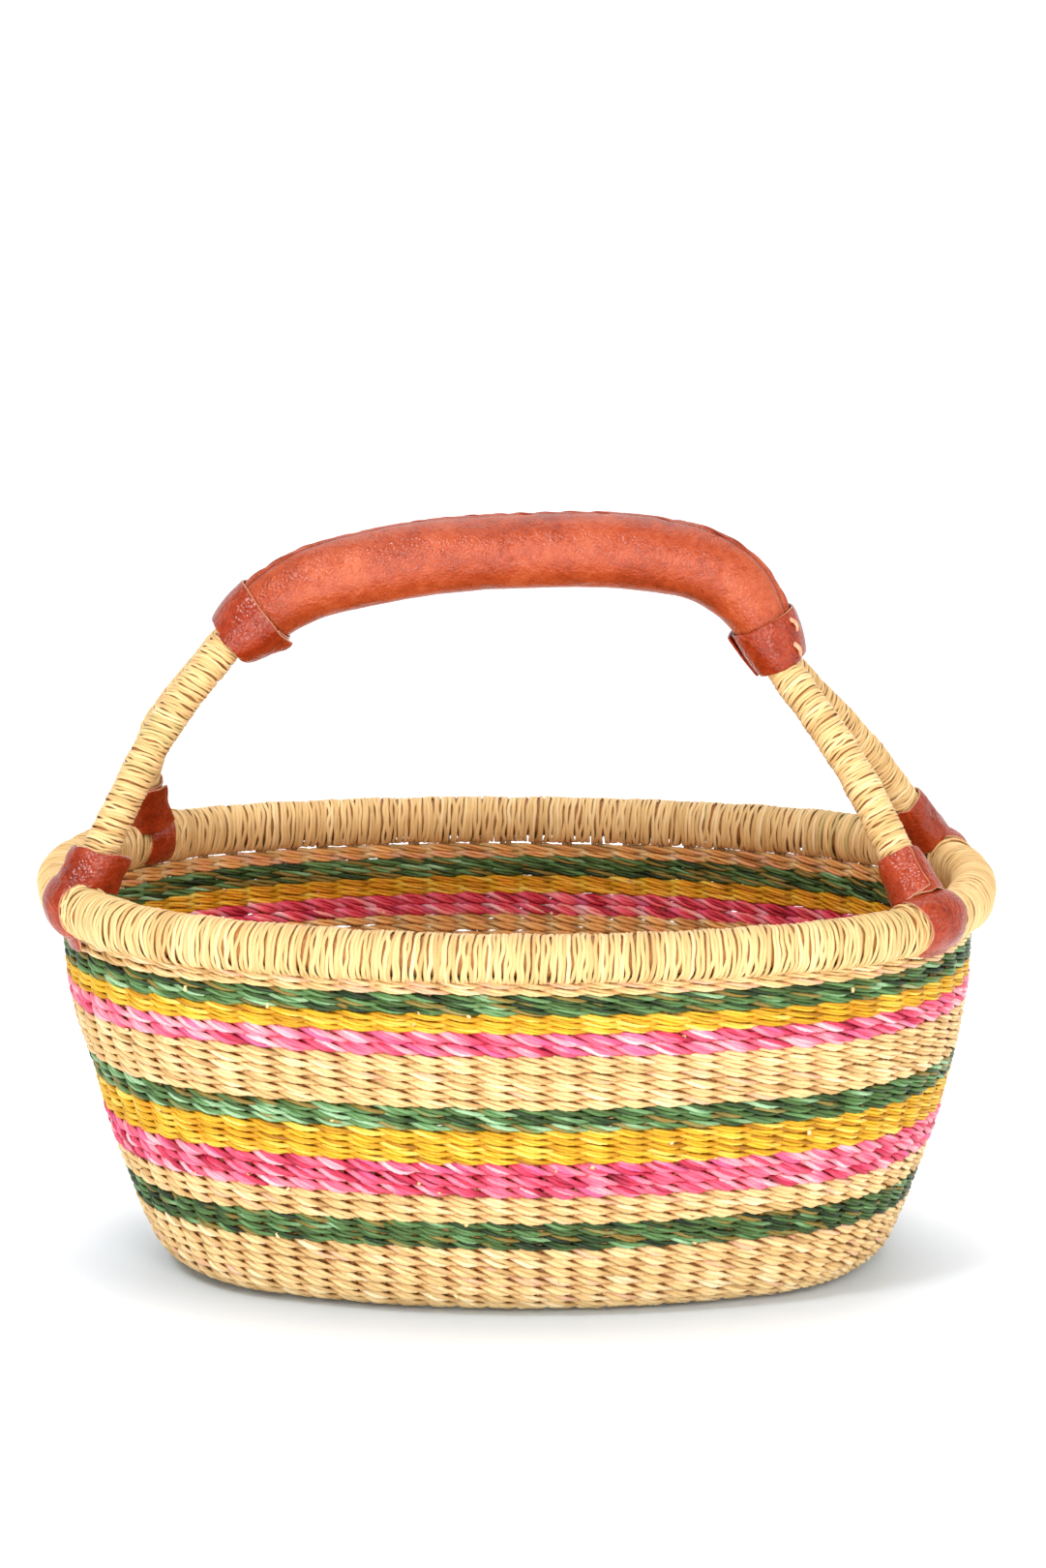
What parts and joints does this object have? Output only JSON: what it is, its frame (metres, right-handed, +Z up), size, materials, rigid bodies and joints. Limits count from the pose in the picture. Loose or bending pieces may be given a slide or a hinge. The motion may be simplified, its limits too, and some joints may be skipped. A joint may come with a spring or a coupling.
{
  "type": "woven market basket",
  "caption": "Oval twined-grass market basket with coloured bands, a straw-wound rim and a fixed arched handle with a leather grip.",
  "frame": {"origin": "centre of the flat base, on the surface the basket stands on", "axes": "+Z up, X along the basket length and the grip, Y across its width; -Y is the front"},
  "size_m": [0.4394, 0.2798, 0.3542],
  "materials": {
    "natural_straw": "twined dried grass, undyed",
    "stake_straw": "flat dried grass uprights, undyed",
    "green_straw": "twined dried grass, dyed dark green",
    "yellow_straw": "twined dried grass, dyed golden yellow",
    "pink_straw": "twined dried grass, dyed pink",
    "winding_straw": "wound dried grass, undyed",
    "cane": "bent cane and bundled grass, hidden",
    "padding": "packed fibre, hidden",
    "grip_leather": "orange-brown leather, mottled, satin",
    "fitting_leather": "red-brown leather, smooth, semi-gloss",
    "lace_leather": "narrow cut leather lace"
  },
  "bodies": {
    "root": {"base_under_weave": "natural_straw", "base_upper_weave": "natural_straw", "front_hoop_core": "cane", "front_left_collar": "fitting_leather", "front_left_lashing": "winding_straw", "front_left_leg_winding": "winding_straw", "front_left_rim_strap": "fitting_leather", "front_right_collar": "fitting_leather", "front_right_lashing": "winding_straw", "front_right_leg_winding": "winding_straw", "front_right_rim_strap": "fitting_leather", "green_band_lower_inner": "green_straw", "green_band_lower_outer": "green_straw", "green_band_middle_inner": "green_straw", "green_band_middle_outer": "green_straw", "green_band_upper_inner": "green_straw", "green_band_upper_outer": "green_straw", "grip_cover": "grip_leather", "grip_lacing": "lace_leather", "grip_left_band": "fitting_leather", "grip_padding": "padding", "grip_right_band": "fitting_leather", "grip_right_band_ties": "lace_leather", "natural_band_middle_inner": "natural_straw", "natural_band_middle_outer": "natural_straw", "natural_band_upper_inner": "natural_straw", "natural_band_upper_outer": "natural_straw", "natural_border_row_inner": "natural_straw", "natural_border_row_outer": "natural_straw", "natural_foot_band_inner": "natural_straw", "natural_foot_band_outer": "natural_straw", "natural_foot_bend_inner": "natural_straw", "natural_foot_bend_outer": "natural_straw", "pink_band_lower_inner": "pink_straw", "pink_band_lower_outer": "pink_straw", "pink_band_upper_inner": "pink_straw", "pink_band_upper_outer": "pink_straw", "rear_hoop_core": "cane", "rear_left_collar": "fitting_leather", "rear_left_lashing": "winding_straw", "rear_left_leg_winding": "winding_straw", "rear_left_rim_strap": "fitting_leather", "rear_left_tie": "lace_leather", "rear_right_collar": "fitting_leather", "rear_right_lashing": "winding_straw", "rear_right_leg_winding": "winding_straw", "rear_right_rim_strap": "fitting_leather", "rim_core": "cane", "rim_winding": "winding_straw", "stakes": "stake_straw", "yellow_band_lower_inner": "yellow_straw", "yellow_band_lower_outer": "yellow_straw", "yellow_band_upper_inner": "yellow_straw", "yellow_band_upper_outer": "yellow_straw"}
  },
  "joints": []
}
